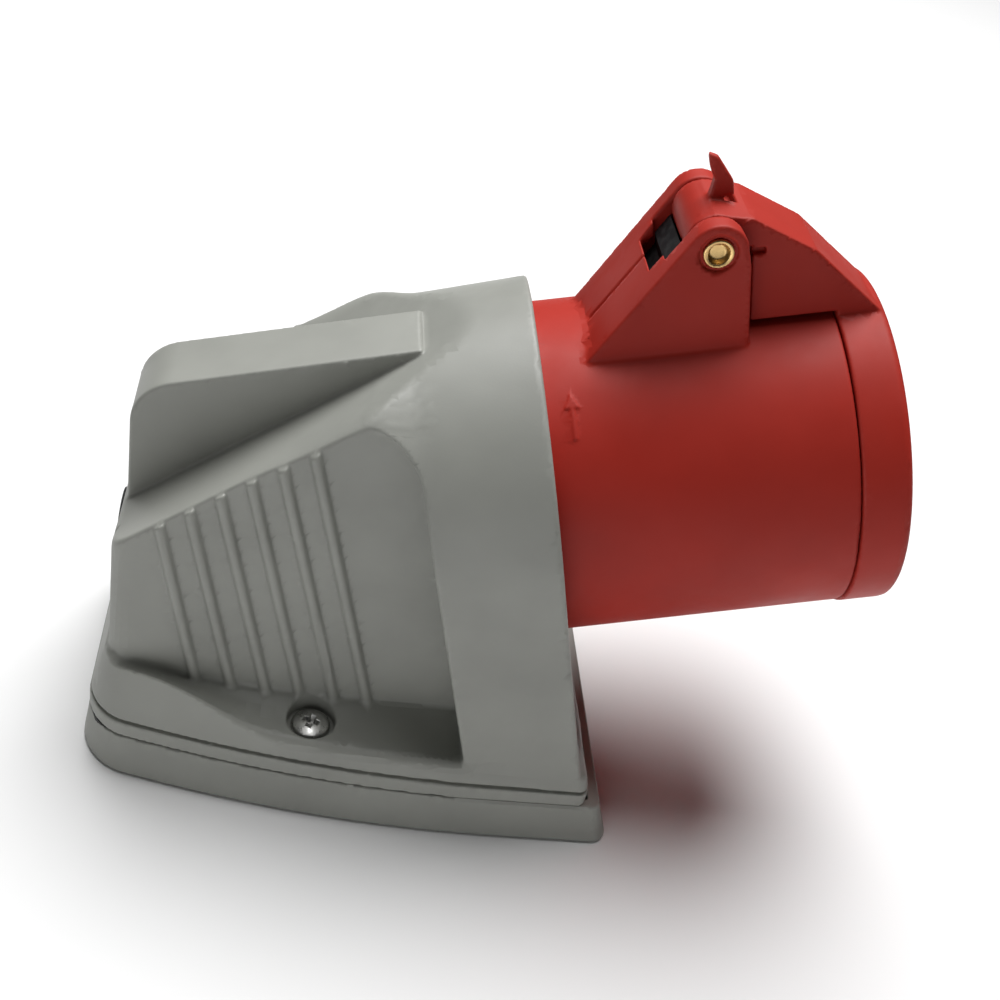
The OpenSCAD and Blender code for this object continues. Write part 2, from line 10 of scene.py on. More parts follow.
import bpy
import numpy as np
import openvdb
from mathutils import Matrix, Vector


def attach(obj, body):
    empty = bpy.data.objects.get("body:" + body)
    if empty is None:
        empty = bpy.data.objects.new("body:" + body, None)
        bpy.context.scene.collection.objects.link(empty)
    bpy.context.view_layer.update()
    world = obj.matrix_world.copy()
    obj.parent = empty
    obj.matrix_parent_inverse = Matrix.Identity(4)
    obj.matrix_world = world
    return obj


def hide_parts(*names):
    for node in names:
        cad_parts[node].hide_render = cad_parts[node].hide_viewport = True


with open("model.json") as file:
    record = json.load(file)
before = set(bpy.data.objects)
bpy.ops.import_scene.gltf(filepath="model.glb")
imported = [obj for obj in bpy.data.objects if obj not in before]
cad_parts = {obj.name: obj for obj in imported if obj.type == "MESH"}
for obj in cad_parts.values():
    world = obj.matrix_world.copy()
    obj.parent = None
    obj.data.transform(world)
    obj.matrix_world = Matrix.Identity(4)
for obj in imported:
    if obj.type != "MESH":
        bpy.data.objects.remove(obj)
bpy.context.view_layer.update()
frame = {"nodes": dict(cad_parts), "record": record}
MM = 0.001

# ---- Driving dimensions, in mm -------------------------------------------------------

TILT = math.radians(16)
AXIS_AT = (55.0, 0.0, 92.0)
SLEEVE_R, BORE_R, MOUTH_S = 45.0, 41.8, 63.1
HINGE = (32.4, 68.6)                      # (s, v)
FOOT = (-1.0, 41.5)                       # (s, v) where the hinge cheeks' slope starts
APEX_R, KNUCKLE_R, KNUCKLE_W, CHEEK_OUT = 7.3, 7.0, 9.9, 15.8
LID_R, LID_BACK, LID_FRONT = 45.5, 63.4, 75.9
COVER_Z, GROOVE_Z, SKIRT_Z = 13.6, 18.3, 19.2
END_X, BACK_X, FRONT_X = -67.5, -72.4, 66.5
ENTRY_Z, ENTRY_R = 50.0, 10.2
HALF_W, BOW_START, BOW_R = 56.0, 43.0, 409.0
BACK_CORNER_R, FRONT_CORNER_R = 11.0, 3.0
DOME_BACK, DOME_FRONT = -42.6, -11.3
ARCH_TOP, ARCH_R = 41.6, 15.5
RAMP_AT, RAMP_SLOPE, RAMP_R = (-66.0, 69.6), math.radians(38.6), 160.0
SPINE_END, SPINE_FRONT, SPINE_HALF_W, SPINE_CORNER_R = -66.3, 3.8, 10.0, 14.0
SPINE_TOP, SPINE_RISE = (-49.6, 110.3), math.radians(17.3)
RIBS, RIB_R = 6, 1.5
RIB_FOOT, FOOT_STEP = (-44.3, 31.5), (9.46, -0.86)    # (x, z) of the first rib, and to the next
RIB_HEAD, HEAD_STEP = (-56.1, 83.6), (7.04, 5.5)
COVER_SCREW, SEAT_Z, RECESS_R = (-11.8, 41.4), 21.8, 6.6
TRAY_TOP, TRAY_FRONT = 13.25, 71.0
WALL = 2.8
ADAPTIVITY = 0.1          # how far flat parts of a mesh are simplified, 0 to 1


# ---- Shapes as distance fields -------------------------------------------------------

def join(a, b, r=0.0):
    """Union with a fillet of radius r along the seam."""
    if np.isscalar(r) and r == 0:
        return np.minimum(a, b)
    return np.maximum(np.minimum(a, b), r) - np.hypot(np.maximum(r - a, 0), np.maximum(r - b, 0))


def meet(a, b, r=0.0):
    """Intersection with its edge rounded to radius r."""
    return -join(-a, -b, r)


def polygon(points, p, q):
    """Distance from (p, q) to a closed outline, negative inside."""
    pts = np.asarray(points, np.float32)
    best = np.full(np.broadcast(p, q).shape, 1e9, np.float32)
    inside = np.zeros(best.shape, bool)
    for (x0, y0), (x1, y1) in zip(pts, np.roll(pts, -1, axis=0)):
        dx, dy = x1 - x0, y1 - y0
        t = np.clip(((p - x0) * dx + (q - y0) * dy) / (dx * dx + dy * dy), 0, 1)
        best = np.minimum(best, np.hypot(p - x0 - t * dx, q - y0 - t * dy))
        if dy != 0:
            crosses = ((q < y0) != (q < y1)) & (p < x0 + (q - y0) * dx / dy)
            inside ^= crosses
    return np.where(inside, -best, best)


def turned(p, q, angle, at=(0.0, 0.0)):
    """The coordinates of (p, q) on axes turned by an angle about a point."""
    p, q = p - at[0], q - at[1]
    c, s = math.cos(angle), math.sin(angle)
    return p * c + q * s, q * c - p * s


def box(*pairs):
    """Distance to a box, from a pair for each side: offset from its middle, and half size."""
    field = -1e9
    for offset, half in pairs:
        field = np.maximum(field, np.abs(offset) - half)
    return field


def grid(low, high, step):
    """Open coordinate arrays that span the box from low to high."""
    axes = [np.arange(a, b + step, step, dtype=np.float32) for a, b in zip(low, high)]
    return np.meshgrid(*axes, indexing="ij", sparse=True)


def sample(field, points):
    """Trilinear value of the field at points given in grid steps."""
    top = np.array(field.shape) - 1.001
    p = np.clip(points, 0, top)
    i = p.astype(int)
    f = p - i
    value = 0
    for corner in range(8):
        c = np.array([corner & 1, corner >> 1 & 1, corner >> 2 & 1])
        j = i + c
        weight = np.prod(np.where(c, f, 1 - f), axis=1)
        value = value + weight * field[j[:, 0], j[:, 1], j[:, 2]]
    return value


def both_sides(half):
    """The full field of a mirror-symmetric shape, from its half at y >= 0."""
    return np.concatenate([half[:, :0:-1, :], half], axis=1)


def y_low(half, step):
    """Lowest y of the full field made from this half."""
    return -(half.shape[1] - 1) * step


def to_mesh(name, field, low, step, place=None):
    """A mesh object from a full field, with normals read from the field."""
    field = np.ascontiguousarray(field, np.float32)
    sparse = openvdb.FloatGrid(background=2 * step)
    sparse.copyFromArray(np.clip(field, -2 * step, 2 * step))
    points, triangles, quads = sparse.convertToPolygons(0.0, ADAPTIVITY)
    reach = 0.6 * np.eye(3)      # in grid steps
    slopes = [sample(field, points + d) - sample(field, points - d) for d in reach]
    normals = np.stack(slopes, axis=1)
    normals /= np.maximum(np.linalg.norm(normals, axis=1, keepdims=True), 1e-9)
    xyz = points * step + np.array(low)
    if place is not None:
        turn, shift = place
        xyz, normals = xyz @ turn + shift, normals @ turn
    mesh = bpy.data.meshes.new(name)
    faces = quads[:, ::-1].tolist() + triangles[:, ::-1].tolist()
    mesh.from_pydata((xyz * MM).tolist(), [], faces)
    mesh.update()
    facing = sum(p.normal.dot(Vector(normals[p.vertices[0]])) for p in mesh.polygons[:400])
    if facing < 0:
        mesh.flip_normals()
    mesh.shade_smooth()
    mesh.normals_split_custom_set(corner_normals(mesh, normals, step * MM).tolist())
    made = bpy.data.objects.new(name, mesh)
    bpy.context.scene.collection.objects.link(made)
    return made


def corner_normals(mesh, normals, step):
    """Field normals at each face corner, but a large flat face keeps its own where they bend."""
    large_face, bend = 8 * step ** 2, math.radians(8)
    n = len(mesh.polygons)
    face_normal, area, sides = np.empty(3 * n), np.empty(n), np.empty(n, np.int32)
    mesh.polygons.foreach_get("normal", face_normal)
    mesh.polygons.foreach_get("area", area)
    mesh.polygons.foreach_get("loop_total", sides)
    corner = np.empty(len(mesh.loops), np.int32)
    mesh.loops.foreach_get("vertex_index", corner)
    own = np.repeat(face_normal.reshape(-1, 3), sides, axis=0)
    large = np.repeat(area > large_face, sides)
    from_field = normals[corner]
    bends = np.sum(own * from_field, axis=1) < math.cos(bend)
    return np.where((large & bends)[:, None], own, from_field)


COS, SIN = math.cos(TILT), math.sin(TILT)
OUT_OF_INLET = (np.array([[COS, 0, SIN], [0, 1, 0], [-SIN, 0, COS]]), np.array(AXIS_AT))


def inlet_frame(x, z):
    """(s, v) of points given by the row frame's x and z."""
    return turned(x, z, TILT, (AXIS_AT[0], AXIS_AT[2]))


# ---- Grey shell ----------------------------------------------------------------------

def outline(x, y, front=FRONT_X):
    """The tray's outline: straight front, sides that bow in towards a round-cornered end."""
    behind = np.maximum(BOW_START - x, 0)
    side = (y - HALF_W + behind ** 2 / (2 * BOW_R)) / np.sqrt(1 + (behind / BOW_R) ** 2)
    return meet(meet(side, BACK_X - x, BACK_CORNER_R), x - front, FRONT_CORNER_R)


def smooth_fall(t):
    """1 up to t = 0, 0 from t = 1, and a smooth slope between."""
    t = np.clip(t, 0, 1)
    return 1 - t * t * (3 - 2 * t)


def panel_y(z):
    """Half width over the recessed side panels, which lean in slightly."""
    width, draft = 35.5, 0.032
    return width - draft * z


def skirt(x, y, z, edge):
    """Sloping foot of the shell: a drafted rim and a ledge that twists down to the front."""
    inset, draft, steepness = 0.4, 0.22, 1.03
    rim = (edge + inset + draft * (z - SKIRT_Z)) / steepness

    # The ledge runs from the panel's foot out to the crest
    foot_low, foot_rise, foot_fade, foot_x = 26.5, 9.3, 24.0, -66.0
    crest_low, crest_rise, crest_fade, crest_x = 24.8, 11.4, 42.0, -60.0
    foot_y, crest_half_w, sag = 34.5, 52.3, 1.0
    foot_z = foot_low + foot_rise * np.exp(-np.maximum(x - foot_x, 0) / foot_fade)
    crest_z = crest_low + crest_rise * smooth_fall((x - crest_x) / crest_fade)
    crest_y = crest_half_w - np.maximum(BOW_START - x, 0) ** 2 / (2 * BOW_R)
    across = np.clip((y - foot_y) / np.maximum(crest_y - foot_y, 1), -0.3, 1.6)
    top = foot_z + (crest_z - foot_z) * across - sag * np.sin(np.pi * np.clip(across, 0, 1))
    top = np.broadcast_to(top, np.broadcast(x, y).shape)
    step = float(x[1, 0, 0] - x[0, 0, 0])
    gx, gy = np.gradient(top[:, :, 0], step)
    steep = np.sqrt(1 + gx ** 2 + gy ** 2)[:, :, None]
    crest_r, crest_r_gain, gain_x, gain_len = 0.7, 1.7, -42.0, 30.0
    rounding = crest_r + crest_r_gain * (1 - smooth_fall((x - gain_x) / gain_len))
    return meet(rim, (z - top) / steep, rounding)


def spine(x, y, z):
    """Square duct along the middle of the ramp, with a round corner at its end."""
    edge_r, slope = 0.8, math.tan(SPINE_RISE)
    c, s = math.cos(SPINE_RISE), math.sin(SPINE_RISE)
    top = (z - SPINE_TOP[1] - slope * (x - SPINE_TOP[0])) * c
    cx = SPINE_END + SPINE_CORNER_R
    cz = SPINE_TOP[1] + slope * (cx - SPINE_TOP[0]) - SPINE_CORNER_R / c
    before = (x - cx) * c + (z - cz) * s < 0
    corner = np.hypot(x - cx, z - cz) - SPINE_CORNER_R
    side_view = np.where(before & (z > cz), corner, np.maximum(SPINE_END - x, top))
    return meet(side_view, np.abs(y) - SPINE_HALF_W, edge_r)


def capsule(p, q, r, x, y, z):
    """A round-ended rod from p to q."""
    p, q = np.array(p), np.array(q)
    d = q - p
    x, y, z = x - p[0], y - p[1], z - p[2]
    t = np.clip((x * d[0] + y * d[1] + z * d[2]) / np.dot(d, d), 0, 1)
    return np.sqrt((x - t * d[0]) ** 2 + (y - t * d[1]) ** 2 + (z - t * d[2]) ** 2) - r


def rib(i, x, y, z):
    """Grip rib number i on the side panel, from the skirt up to the ramp."""
    past_foot, past_head = 0.1, 0.15
    foot_z, head_z = RIB_FOOT[1] + FOOT_STEP[1] * i, RIB_HEAD[1] + HEAD_STEP[1] * i
    foot = np.array([RIB_FOOT[0] + FOOT_STEP[0] * i, panel_y(foot_z), foot_z])
    head = np.array([RIB_HEAD[0] + HEAD_STEP[0] * i, panel_y(head_z), head_z])
    run = head - foot
    return capsule(foot - past_foot * run, head + past_head * run, RIB_R, x, y, z)


def shell_top(x, y, z, s, v):
    """Round-topped section on flared legs, cut by the hollow ramp."""
    rear_r, front_gain, gain_s, gain_len = 50.4, 1.6, -43.2, 31.0
    flare, flare_s, flare_len, leg_draft = 1.7, -54.0, 14.0, 0.05
    r = rear_r + front_gain * np.clip((s - gain_s) / gain_len, 0, 1)
    r = r + flare * smooth_fall((s - flare_s) / flare_len)
    section = np.where(v > 0, np.hypot(y, v) - r, y - r + leg_draft * v)
    u, w = turned(x, z, RAMP_SLOPE, RAMP_AT)
    ramp = RAMP_R - np.hypot(y, w - RAMP_R)
    edge_r, rear_edge_r, fade_u, fade_len = 1.0, 8.0, 52.0, 30.0
    return meet(section, ramp, edge_r + rear_edge_r * smooth_fall((u - fade_u) / fade_len))


def shell_body(x, y, z, s, v):
    """Dome, and the ribbed body between the side panels behind it, with the spine on top."""
    top = shell_top(x, y, z, s, v)
    arch_edge, end_r, top_edge, seam_r, panel_front = 0.9, 5.0, 1.0, 1.2, -38.0
    arch = join(DOME_BACK - s, ARCH_TOP - v, ARCH_R)
    dome = meet(meet(top, s - DOME_FRONT, arch_edge), arch, arch_edge)
    body = meet(meet(y - panel_y(z), END_X - x, end_r), s - panel_front, 0)
    body = meet(body, top, top_edge)
    rib_drop, rib_end_r, rib_fillet = 0.7, 0.5, 0.45
    for i in range(RIBS):
        body = join(body, meet(rib(i, x, y, z), top + rib_drop, rib_end_r), rib_fillet)
    # The two share their top surface, so the seam's fillet fades out towards it
    body = join(body, dome, np.clip(-top, 0.01, seam_r))
    spine_r = 0.8
    return join(body, meet(spine(x, y, z), x - SPINE_FRONT, spine_r), spine_r)


def make_shell():
    """Grey shell, shaped on its far half and mirrored."""
    low, step = (-73.4, 0.0, 12.65), (0.52)
    x, y, z = grid(low, (67.6, 57.6, 141), step)
    s, v = inlet_frame(x, z)
    body = shell_body(x, y, z, s, v)

    # Skirt, band and groove at the foot
    groove_depth, neck_up, skirt_fillet, skirt_r, band_r = 1.5, 2, 1.2, 0.3, 0.25
    edge = outline(x, y)
    body = join(body, skirt(x, y, z, edge), skirt_fillet)
    band = meet(edge, z - GROOVE_Z, band_r)
    neck = meet(edge + groove_depth, z - SKIRT_Z - neck_up, 0)
    body = meet(body, SKIRT_Z - z, skirt_r)
    body = join(join(body, neck, 0), band, 0)

    # Screw recesses
    seat_r, recess_edge_r = 0.3, 0.5
    screw = np.hypot(x - COVER_SCREW[0], y - COVER_SCREW[1])
    body = meet(body, -meet(screw - RECESS_R, SEAT_Z - z, seat_r), recess_edge_r)

    # Hollow it out, leaving the front wall and the screw bosses
    foot_wall, front_wall_s, boss_wall, screw_hole_r = 3.6, -17.5, 1.5, 2.2
    cavity = body + WALL
    cavity = np.minimum(cavity, meet(edge + foot_wall, z - SKIRT_Z, 0))
    cavity = meet(cavity, s - front_wall_s, 0)
    cavity = meet(cavity, RECESS_R + boss_wall - screw, 0)
    shell = meet(body, -cavity, 0)

    # Holes for the sleeve and its collar, the screws and the cable
    clearance, hole_s, hole_half, collar_r, collar_s = 0.4, -15.0, 8.0, 49.6, -13.9
    about = np.hypot(y, v)
    hole = meet(about - SLEEVE_R - clearance, np.abs(s - hole_s) - hole_half, 0)
    collar = meet(about - collar_r, collar_s - s, 0)
    hole_edge_r, entry_edge_r, foot_edge_r, entry_inner_x = 0.4, 0.3, 0.2, -60.0
    shell = meet(shell, -np.minimum(hole, collar), hole_edge_r)
    shell = meet(shell, screw_hole_r - screw, 0)
    entry = meet(np.hypot(y, z - ENTRY_Z) - ENTRY_R, x - entry_inner_x, 0)
    shell = meet(shell, -entry, entry_edge_r)
    shell = meet(shell, COVER_Z - z, foot_edge_r)
    corner = (low[0], y_low(shell, step), low[2])
    return to_mesh("shell_moulding", both_sides(shell), corner, step)


# ---- Wall tray -----------------------------------------------------------------------

def make_tray():
    """Open tray with drafted sides, a sealing groove and posts for screws and clamps."""
    low, step = (-75.6, 0.0, -0.8), (0.5)
    x, y, z = grid(low, (75.6, 59.2, 14.4), step)
    draft_h, foot_out, front_out, rim_wall = 13.2, 1.6, 3.0, 3.4
    drop = 1 - np.clip(z / draft_h, 0, 1)
    edge = outline(x, y, front=TRAY_FRONT + front_out * drop) - foot_out * drop
    top_r, back_r, room_r, post_r, post_fillet = 0.3, 0.8, 0.5, 0.2, 0.4
    tray = meet(edge, z - TRAY_TOP, top_r)
    tray = meet(tray, -z, back_r)
    room = meet(outline(x, y, front=TRAY_FRONT) + rim_wall, WALL - z, room_r)

    # Posts: x, y, radius, top, hole radius, and where the hole stops; wall holes go through
    through = -2.0
    posts = [(*COVER_SCREW, 4.6, 13.2, 1.75, WALL),
             (56, 30, 5.5, 6.0, 2.75, through), (-56, 30, 5.5, 6.0, 2.75, through),
             (-42, 13, 4.0, 10.0, 1.6, WALL), (-20, 0, 6.0, 9.0, 2.1, WALL)]
    for px, py, r, top, *_ in posts:
        room = meet(room, -meet(np.hypot(x - px, y - py) - r, z - top, post_r), post_fillet)
    tray = meet(tray, -room, post_fillet)
    for px, py, _, _, bore, floor in posts:
        tray = meet(tray, -meet(np.hypot(x - px, y - py) - bore, floor - z, 0), 0)

    groove_out, groove_in, groove_floor = 1.1, 2.4, 11.6
    plain = outline(x, y)
    groove = meet(meet(plain + groove_out, -plain - groove_in, 0), groove_floor - z, 0)
    tray = meet(tray, -groove, 0)
    corner = (low[0], y_low(tray, step), low[2])
    return to_mesh("tray_moulding", both_sides(tray), corner, step)


# ---- Red inlet sleeve ----------------------------------------------------------------

def hinge_slope():
    """Angle of the cheeks' sloping edge, tangent to the round apex."""
    ds, dv = HINGE[0] - FOOT[0], HINGE[1] - FOOT[1]
    return math.atan2(dv, ds) + math.asin(APEX_R / math.hypot(ds, dv))


def hinge_block(s, y, v, about):
    """Two cheeks tangent to the round apex, and the split web between them."""
    slope = hinge_slope()
    top = (HINGE[0] - APEX_R * math.sin(slope), HINGE[1] + APEX_R * math.cos(slope))
    edge_s, edge_top, root_v = HINGE[0] + APEX_R + 0.6, 64, 40    # the front edge is drafted
    cheek = polygon([FOOT, top, (HINGE[0], HINGE[1] + 1), (HINGE[0] + APEX_R, HINGE[1]),
                     (edge_s, edge_top), (edge_s, root_v), (FOOT[0] - 1, root_v)], s, v)
    cheek = join(cheek, np.hypot(s - HINGE[0], v - HINGE[1]) - APEX_R)
    half_thick, cheek_edge_r = 2.85, 0.7
    cheek = meet(cheek, box((np.abs(y) - CHEEK_OUT + half_thick, half_thick)), cheek_edge_r)

    # The web lies along the cheeks' slope and ends in a stepped window
    thick, half_w, slit_w, slit_depth = 2.4, 11, 0.4, 0.5
    above = (v - FOOT[1]) * math.cos(slope) - (s - FOOT[0]) * math.sin(slope)
    side_y, side_window_s, middle_window_s = 7.6, 20.6, 17.3
    window_s = np.where(np.abs(y) > side_y, side_window_s, middle_window_s)
    web = meet(meet(above, -above - thick, 0), s - window_s, 0)
    web = meet(meet(web, FOOT[0] - s, 0), np.abs(y) - half_w, 0)
    web = meet(web, -meet(np.abs(y) - slit_w, -above - slit_depth, 0), 0.15)
    web_drop, root_r = 0.05, 40.5
    block = join(cheek, web + web_drop, 0)
    return meet(block, root_r - about, 0)


def make_sleeve():
    """Red sleeve with the hinge's cheeks, bayonet lugs, screw posts and rivet holes."""
    low, step = (-30.6, -50.5, -50.5), (0.5)
    s, y, v = grid(low, (64.2, 50.5, 77.0), step)
    about = np.hypot(y, v)
    back_s, mouth_r, back_r, block_fillet = -30, 0.6, 0.3, 0.7
    sleeve = meet(meet(about - SLEEVE_R, s - MOUTH_S, mouth_r), back_s - s, back_r)
    sleeve = join(sleeve, hinge_block(s, y, v, about), block_fillet)

    collar_r, collar_s, collar_half = 49.1, -12.25, 0.55
    collar = meet(about - collar_r, np.abs(s - collar_s) - collar_half, 0.2)
    sleeve = join(sleeve, collar, 0.3)

    lug_r, lug_in, lug_half_w, lug_s, lug_half, lug_turn = 48.5, 30, 7, -19.65, 1.85, 9
    for turn in (0, 120, 240):
        across, out = turned(y, v, math.radians(turn - lug_turn))
        lug = np.maximum(np.abs(across) - lug_half_w, lug_in - out)
        lug = meet(lug, np.abs(s - lug_s) - lug_half, 0.2)
        sleeve = join(sleeve, meet(lug, about - lug_r, 0.3), 0.2)
    sleeve = meet(sleeve, BORE_R - about, 0.4)

    # Posts inside the bore for the carrier's screws
    post_s, post_half, post_half_w, hole_out, hole_r = 1, 2.5, 4.5, 37.6, 1.4
    post_in, post_out = 35.5, BORE_R + 0.7
    for turn in (60, 180, 300):
        across, out = turned(y, v, math.radians(turn))
        post = meet(box((across, post_half_w), (s - post_s, post_half)), post_in - out, 0.2)
        post = meet(post, hole_r - np.hypot(across, out - hole_out), 0)
        sleeve = join(sleeve, meet(post, about - post_out, 0), 0.2)

    pin = np.hypot(s - HINGE[0], v - HINGE[1])
    pin_hole_r, rivet_head_r, head_seat = 3.45, 4.7, 15.0
    holes = join(pin - pin_hole_r, meet(pin - rivet_head_r, head_seat - np.abs(y), 0), 0)
    sleeve = meet(sleeve, -holes, 0.2)
    sleeve = join(sleeve, closing_arrow(s, y, v), 0.25)
    return to_mesh("sleeve_moulding", sleeve, low, step, place=OUT_OF_INLET)


def closing_arrow(s, y, v):
    """Raised arrow on the sleeve's root, pointing the way it turns to lock."""
    arrow_turn, arrow_s, height = math.radians(38), -5, 0.4
    stroke_at, stroke_half_w, stroke_half, head_foot, head_tip = -1.5, 0.6, 4.5, 2, 6
    across, out = turned(y, v, arrow_turn)
    ds = np.abs(s - arrow_s)
    stroke = box((ds, stroke_half_w), (across - stroke_at, stroke_half))
    head = np.maximum(head_foot - across, (across - head_tip + 2 * ds) / math.sqrt(5))
    mark = meet(np.minimum(stroke, head), np.hypot(y, v) - SLEEVE_R - height, 0.2)
    return np.maximum(mark, SLEEVE_R - 1 - out)      # only on this side of the sleeve


# ---- Lid -----------------------------------------------------------------------------

def lid_arm(s, v):
    """Side view of the arm that runs from the knuckle down to the lid's rim."""
    hs, hv = HINGE
    arm = polygon([(hs, hv + KNUCKLE_R), (hs + 9.5, hv + 5), (57.4, 63.4),
                   (LID_FRONT - 1, LID_R - 1.4), (LID_FRONT - 6, LID_R - 4),
                   (LID_BACK, LID_R - 4), (LID_BACK, LID_R + 0.2),
                   (hs + 9.2, LID_R + 0.2), (hs + 9.2, hv - 2), (hs + 5, hv - 4.5)], s, v)
    return join(arm, np.hypot(s - hs, v - hv) - KNUCKLE_R, 0.6)


def finger_tab(s, v):
    """Side view of the thin tab that curves up from the knuckle."""
    hs, hv = HINGE
    arc_at, arc_r = (hs + 14.8, hv + 18), 14.5
    back = [(arc_at[0] + arc_r * math.cos(a), arc_at[1] + arc_r * math.sin(a))
            for a in np.radians(np.linspace(205, 178, 7))]
    front = [(hs + 2.6, hv + 17.4), (hs + 6.2, hv + 11), (hs + 6.4, hv + 5)]
    return polygon([(hs - 0.4, hv + 5)] + back + front, s, v)


def make_lid():
    """Lid cap, hollow arm with its knuckle, and the finger tab."""
    low, step = (24.6, -46.3, -46.3), (0.5)
    s, y, v = grid(low, (76.8, 46.3, 88.6), step)
    hs, hv = HINGE
    about, pin = np.hypot(y, v), np.hypot(s - hs, v - hv)
    face_edge_r, inside_r, face_thick = 1.9, 42.7, 3
    back_edge_r, room_r, mouth_r = 0.5, 0.6, 0.2
    rim = meet(meet(about - LID_R, LID_BACK - s, back_edge_r), s - LID_FRONT, face_edge_r)
    room = meet(about - inside_r, s - LID_FRONT + face_thick, room_r)
    rim = meet(rim, -room, mouth_r)

    tab_root, tab_tip, tab_foot_v, tab_len = 1.7, 1.0, hv + 5, 14
    arm_edge_r, arm_fillet, tab_fillet = 0.5, 0.5, 0.8
    arm = meet(lid_arm(s, v), np.abs(y) - KNUCKLE_W, arm_edge_r)
    tip = np.clip((v - tab_foot_v) / tab_len, 0, 1)
    tab_half_w = tab_root - (tab_root - tab_tip) * tip
    tab = meet(finger_tab(s, v), np.abs(y) - tab_half_w, arm_edge_r)
    lid = join(join(rim, arm, arm_fillet), tab, tab_fillet)

    # Hollow under the arm, the rivet's bore and the spring's room in the knuckle
    arm_wall, pin_hole_r, coil_room_r, coil_room_w = 2.2, 3.45, 5.6, 6
    pocket = polygon([(hs + 11.5, LID_R), (hs + 11.5, hv), (56, 60.5), (LID_BACK - 1.5, 54.5),
                      (LID_BACK - 1.5, LID_R)], s, v)
    lid = meet(lid, -meet(pocket, np.abs(y) - KNUCKLE_W + arm_wall, 0), 0.2)
    lid = meet(lid, pin_hole_r - pin, 0)
    lid = meet(lid, -meet(pin - coil_room_r, np.abs(y) - coil_room_w, 0), 0.1)

    # Slot for the spring's leg, slots in the arm's sides, and the notch under the tab
    along, up = turned(s, v, math.radians(35), HINGE)
    leg_slot = box((along + 6, 6), (up - 0.9, 2.5), (y + 4.5, 1.5))
    side_slot = np.maximum(box((s - hs - 10, 2.6), (v - hv + 3.6, 0.85)), 8.4 - np.abs(y))
    notch = box((s - hs - 5.3, 1.5), (y - 3.2, 4.8), (v - hv - 5.1, 2.3))
    for hole in (leg_slot, side_slot, notch):
        lid = meet(lid, -hole, 0.15)
    return to_mesh("lid_moulding", lid, low, step, place=OUT_OF_INLET)


# ---- Metal pieces --------------------------------------------------------------------

def make_rivet():
    """Semi-tubular brass rivet: rolled rims round a shallow hollow at each end."""
    half_len, reach, margin = CHEEK_OUT - 0.05, 4.9, 0.4
    low, step = (HINGE[0] - reach, -half_len - margin, HINGE[1] - reach), 0.14
    s, y, v = grid(low, (HINGE[0] + reach, half_len + margin, HINGE[1] + reach), step)
    r = np.hypot(s - HINGE[0], v - HINGE[1])
    end = half_len - np.abs(y)
    shank_r, roll_at, roll_r, roll_end = 3.4, 3.35, 0.42, 0.45
    shank = meet(r - shank_r, 0.4 - end, 0.1)
    rim = np.hypot(r - roll_at, end - roll_end) - roll_r
    rim = join(rim, meet(np.abs(r - 3.0) - 0.45, np.abs(end - roll_end) - 0.35, 0.1), 0.3)
    rivet = join(shank, rim, 0.2)
    hollow_r, hollow_depth, taper, dish = 2.6, 1.5, 0.5, 0.05
    hollow = meet(r - hollow_r + taper * np.clip(end - 0.4, 0, 2),
                  end - hollow_depth - dish * (hollow_r - r), 0.25)
    return to_mesh("rivet", meet(rivet, -hollow, 0.2), low, step, place=OUT_OF_INLET)


def make_cover_screw(name, side):
    """Pan-head screw with a cross recess, seated in the skirt."""
    low, step = (-5.8, -5.8, -15.6), 0.17
    x, y, z = grid(low, (5.8, 5.8, 3.2), step)
    r = np.hypot(x, y)
    head_r, head_h, crown_r, recess_floor, head_turn = 5.4, 2.8, 11.0, 0.6, 20
    crown = np.sqrt(r ** 2 + (z + crown_r - head_h) ** 2) - crown_r
    head = meet(meet(r - head_r, crown, 0.6), -z, 0.2)

    pitch, thread_depth, thread_top, shank_r, shank_end = 0.8, 0.12, -4, 1.55, -15.3
    shank_half = (0.2 - shank_end) / 2
    thread = thread_depth * np.cos(2 * np.pi * z / pitch + np.arctan2(y, x))
    shank = meet(r - shank_r + np.where(z < thread_top, thread, 0),
                 np.abs(z - shank_end - shank_half) - shank_half, 0.3)

    # Cross recess, its wings tapering towards the floor
    depth = z - recess_floor
    a, b = turned(x, y, math.radians(head_turn * side))

    def wing(p, q):
        return np.maximum(np.abs(p) - 0.55 - 0.12 * depth, np.abs(q) - 1.2 - 0.55 * depth)

    socket = np.minimum(np.minimum(wing(a, b), wing(b, a)), r - 0.9 - 0.2 * depth)
    screw = meet(join(head, shank, 0.3), -np.maximum(socket, -depth), 0.12)
    at = np.array([COVER_SCREW[0], side * COVER_SCREW[1], SEAT_Z])
    return to_mesh(name, screw, low, step, place=(np.eye(3), at))


# ---- Materials -----------------------------------------------------------------------

